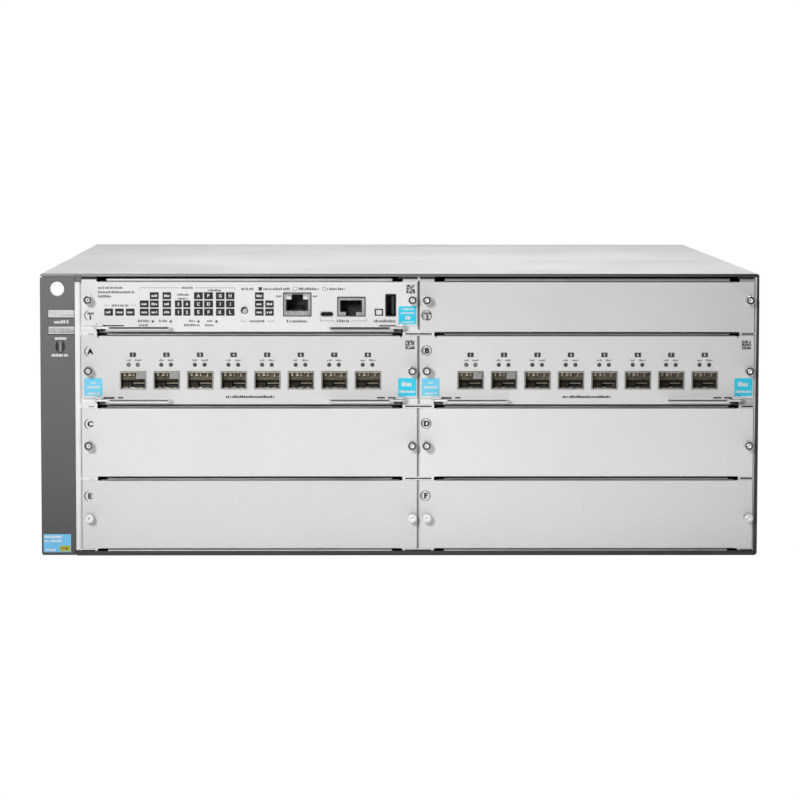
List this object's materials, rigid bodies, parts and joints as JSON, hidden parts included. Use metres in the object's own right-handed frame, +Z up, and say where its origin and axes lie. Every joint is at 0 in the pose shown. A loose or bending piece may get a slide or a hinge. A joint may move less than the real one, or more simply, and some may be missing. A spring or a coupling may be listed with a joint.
{
  "type": "modular chassis switch",
  "caption": "Four-unit rack chassis switch with a management module, pluggable-port line modules and blank slot covers, removable power supplies and a fan drawer.",
  "frame": {"origin": "under the middle of the whole part's box, on the floor's underside", "axes": "+X to the right seen from the front, +Y from front to rear, +Z up"},
  "size_m": [0.4444, 0.478, 0.1753],
  "materials": {
    "cover_paint": "fine-textured light grey powder coat",
    "faceplate_paint": "smooth light grey paint on steel sheet",
    "zinc_sheet": "bright zinc-plated steel sheet",
    "bezel_grey": "mid grey moulding, fine texture",
    "clear_bar": "clear moulded light guide",
    "badge_silver": "plain satin disc",
    "board_green": "green circuit board",
    "connector_black": "black moulded connector",
    "shield_steel": "bright tinned connector shield",
    "cage_steel": "bright plated port cage",
    "smoked_window": "smoked display film",
    "button_grey": "grey push button",
    "screw_steel": "bright nickel-plated captive screw",
    "lever_steel": "bright plated ejector lever",
    "fan_black": "black glass-filled plastic",
    "latch_plastic": "dark red thumb latch"
  },
  "bodies": {
    "chassis": {"chassis_tray": "cover_paint", "top_cover": "cover_paint", "front_post": "faceplate_paint", "centre_divider": "zinc_sheet", "bay_shelves": "zinc_sheet", "backplane_board": "board_green", "backplane_connectors": "connector_black", "rear_frame": "zinc_sheet", "front_bezel": "bezel_grey", "light_bars": "clear_bar", "locator_lens": "clear_bar", "badge_disc": "badge_silver"},
    "management_module": {"management_faceplate": "faceplate_paint", "management_carrier": "zinc_sheet", "management_board": "board_green", "network_jack": "shield_steel", "console_jack": "shield_steel", "usb_port": "shield_steel", "micro_usb_port": "shield_steel", "status_windows": "smoked_window"},
    "module_a": {"module_a_faceplate": "faceplate_paint", "module_a_carrier": "zinc_sheet", "module_a_board": "board_green", "module_a_port_cages": "cage_steel"},
    "module_b": {"module_b_faceplate": "faceplate_paint", "module_b_carrier": "zinc_sheet", "module_b_board": "board_green", "module_b_port_cages": "cage_steel"},
    "fan_drawer": {"fan_tray": "zinc_sheet", "fan_frames": "fan_black"},
    "management_lever_left": {"management_lever_left": "lever_steel"},
    "management_screw_left": {"management_screw_left": "screw_steel"},
    "management_lever_right": {"management_lever_right": "lever_steel"},
    "management_screw_right": {"management_screw_right": "screw_steel"},
    "module_a_lever_left": {"module_a_lever_left": "lever_steel"},
    "module_a_screw_left": {"module_a_screw_left": "screw_steel"},
    "module_a_lever_right": {"module_a_lever_right": "lever_steel"},
    "module_a_screw_right": {"module_a_screw_right": "screw_steel"},
    "module_b_lever_left": {"module_b_lever_left": "lever_steel"},
    "module_b_screw_left": {"module_b_screw_left": "screw_steel"},
    "module_b_lever_right": {"module_b_lever_right": "lever_steel"},
    "module_b_screw_right": {"module_b_screw_right": "screw_steel"},
    "mode_button": {"mode_button": "button_grey"},
    "pin_button_1": {"pin_button_1": "button_grey"},
    "pin_button_2": {"pin_button_2": "button_grey"},
    "pin_button_3": {"pin_button_3": "button_grey"},
    "pin_button_4": {"pin_button_4": "button_grey"},
    "management_cover": {"management_cover": "faceplate_paint"},
    "slot_cover_c": {"slot_cover_c": "faceplate_paint"},
    "slot_cover_d": {"slot_cover_d": "faceplate_paint"},
    "slot_cover_e": {"slot_cover_e": "faceplate_paint"},
    "slot_cover_f": {"slot_cover_f": "faceplate_paint"},
    "fan_rotor_1": {"fan_rotor_1": "fan_black"},
    "fan_rotor_2": {"fan_rotor_2": "fan_black"},
    "fan_rotor_3": {"fan_rotor_3": "fan_black"},
    "power_supply_1": {"power_supply_1": "zinc_sheet"},
    "supply_latch_1": {"supply_latch_1": "latch_plastic"},
    "power_supply_2": {"power_supply_2": "zinc_sheet"},
    "supply_latch_2": {"supply_latch_2": "latch_plastic"}
  },
  "joints": [
    {"name": "management_slide", "type": "slide", "parent": "chassis", "child": "management_module", "axis": [0, -1, 0], "range_m": [0, 0.28]},
    {"name": "module_a_slide", "type": "slide", "parent": "chassis", "child": "module_a", "axis": [0, -1, 0], "range_m": [0, 0.28]},
    {"name": "module_b_slide", "type": "slide", "parent": "chassis", "child": "module_b", "axis": [0, -1, 0], "range_m": [0, 0.28]},
    {"name": "management_lever_left_pivot", "type": "hinge", "parent": "management_module", "child": "management_lever_left", "pos_m": [-0.1862, -0.23503, 0.142], "axis": [0, 0, -1], "range_deg": [0, 60]},
    {"name": "management_screw_left_turn", "type": "hinge", "parent": "management_module", "child": "management_screw_left", "pos_m": [-0.1924, -0.23583, 0.15915], "axis": [0, 1, 0], "continuous": true},
    {"name": "management_lever_right_pivot", "type": "hinge", "parent": "management_module", "child": "management_lever_right", "pos_m": [0, -0.23503, 0.142], "axis": [0, 0, 1], "range_deg": [0, 60]},
    {"name": "management_screw_right_turn", "type": "hinge", "parent": "management_module", "child": "management_screw_right", "pos_m": [0.0074, -0.23583, 0.15915], "axis": [0, 1, 0], "continuous": true},
    {"name": "module_a_lever_left_pivot", "type": "hinge", "parent": "module_a", "child": "module_a_lever_left", "pos_m": [-0.1862, -0.23503, 0.09707], "axis": [0, 0, -1], "range_deg": [0, 60]},
    {"name": "module_a_screw_left_turn", "type": "hinge", "parent": "module_a", "child": "module_a_screw_left", "pos_m": [-0.1924, -0.23583, 0.1153], "axis": [0, 1, 0], "continuous": true},
    {"name": "module_a_lever_right_pivot", "type": "hinge", "parent": "module_a", "child": "module_a_lever_right", "pos_m": [0, -0.23503, 0.09707], "axis": [0, 0, 1], "range_deg": [0, 60]},
    {"name": "module_a_screw_right_turn", "type": "hinge", "parent": "module_a", "child": "module_a_screw_right", "pos_m": [0.0074, -0.23583, 0.1153], "axis": [0, 1, 0], "continuous": true},
    {"name": "module_b_lever_left_pivot", "type": "hinge", "parent": "module_b", "child": "module_b_lever_left", "pos_m": [0.0225, -0.23503, 0.09707], "axis": [0, 0, -1], "range_deg": [0, 60]},
    {"name": "module_b_screw_left_turn", "type": "hinge", "parent": "module_b", "child": "module_b_screw_left", "pos_m": [0.0163, -0.23583, 0.1153], "axis": [0, 1, 0], "continuous": true},
    {"name": "module_b_lever_right_pivot", "type": "hinge", "parent": "module_b", "child": "module_b_lever_right", "pos_m": [0.2087, -0.23503, 0.09707], "axis": [0, 0, 1], "range_deg": [0, 60]},
    {"name": "module_b_screw_right_turn", "type": "hinge", "parent": "module_b", "child": "module_b_screw_right", "pos_m": [0.2161, -0.23583, 0.1153], "axis": [0, 1, 0], "continuous": true},
    {"name": "mode_button_press", "type": "slide", "parent": "management_module", "child": "mode_button", "axis": [0, 1, 0], "range_m": [0, 0.0008], "stiffness_N_per_m": 1200},
    {"name": "pin_button_1_press", "type": "slide", "parent": "management_module", "child": "pin_button_1", "axis": [0, 1, 0], "range_m": [0, 0.0005], "stiffness_N_per_m": 1200},
    {"name": "pin_button_2_press", "type": "slide", "parent": "management_module", "child": "pin_button_2", "axis": [0, 1, 0], "range_m": [0, 0.0005], "stiffness_N_per_m": 1200},
    {"name": "pin_button_3_press", "type": "slide", "parent": "management_module", "child": "pin_button_3", "axis": [0, 1, 0], "range_m": [0, 0.0005], "stiffness_N_per_m": 1200},
    {"name": "pin_button_4_press", "type": "slide", "parent": "management_module", "child": "pin_button_4", "axis": [0, 1, 0], "range_m": [0, 0.0005], "stiffness_N_per_m": 1200},
    {"name": "management_cover_off", "type": "slide", "parent": "chassis", "child": "management_cover", "axis": [0, -1, 0], "range_m": [0, 0.04]},
    {"name": "slot_cover_c_off", "type": "slide", "parent": "chassis", "child": "slot_cover_c", "axis": [0, -1, 0], "range_m": [0, 0.04]},
    {"name": "slot_cover_d_off", "type": "slide", "parent": "chassis", "child": "slot_cover_d", "axis": [0, -1, 0], "range_m": [0, 0.04]},
    {"name": "slot_cover_e_off", "type": "slide", "parent": "chassis", "child": "slot_cover_e", "axis": [0, -1, 0], "range_m": [0, 0.04]},
    {"name": "slot_cover_f_off", "type": "slide", "parent": "chassis", "child": "slot_cover_f", "axis": [0, -1, 0], "range_m": [0, 0.04]},
    {"name": "fan_drawer_slide", "type": "slide", "parent": "chassis", "child": "fan_drawer", "axis": [0, 1, 0], "range_m": [0, 0.08]},
    {"name": "fan_rotor_1_spin", "type": "hinge", "parent": "fan_drawer", "child": "fan_rotor_1", "pos_m": [-0.138, 0.19817, 0.1128], "axis": [0, 1, 0], "continuous": true},
    {"name": "fan_rotor_2_spin", "type": "hinge", "parent": "fan_drawer", "child": "fan_rotor_2", "pos_m": [0, 0.19817, 0.1128], "axis": [0, 1, 0], "continuous": true},
    {"name": "fan_rotor_3_spin", "type": "hinge", "parent": "fan_drawer", "child": "fan_rotor_3", "pos_m": [0.138, 0.19817, 0.1128], "axis": [0, 1, 0], "continuous": true},
    {"name": "power_supply_1_slide", "type": "slide", "parent": "chassis", "child": "power_supply_1", "axis": [0, 1, 0], "range_m": [0, 0.16]},
    {"name": "supply_latch_1_press", "type": "slide", "parent": "power_supply_1", "child": "supply_latch_1", "axis": [-1, 0, 0], "range_m": [0, 0.004], "stiffness_N_per_m": 800},
    {"name": "power_supply_2_slide", "type": "slide", "parent": "chassis", "child": "power_supply_2", "axis": [0, 1, 0], "range_m": [0, 0.16]},
    {"name": "supply_latch_2_press", "type": "slide", "parent": "power_supply_2", "child": "supply_latch_2", "axis": [-1, 0, 0], "range_m": [0, 0.004], "stiffness_N_per_m": 800}
  ]
}
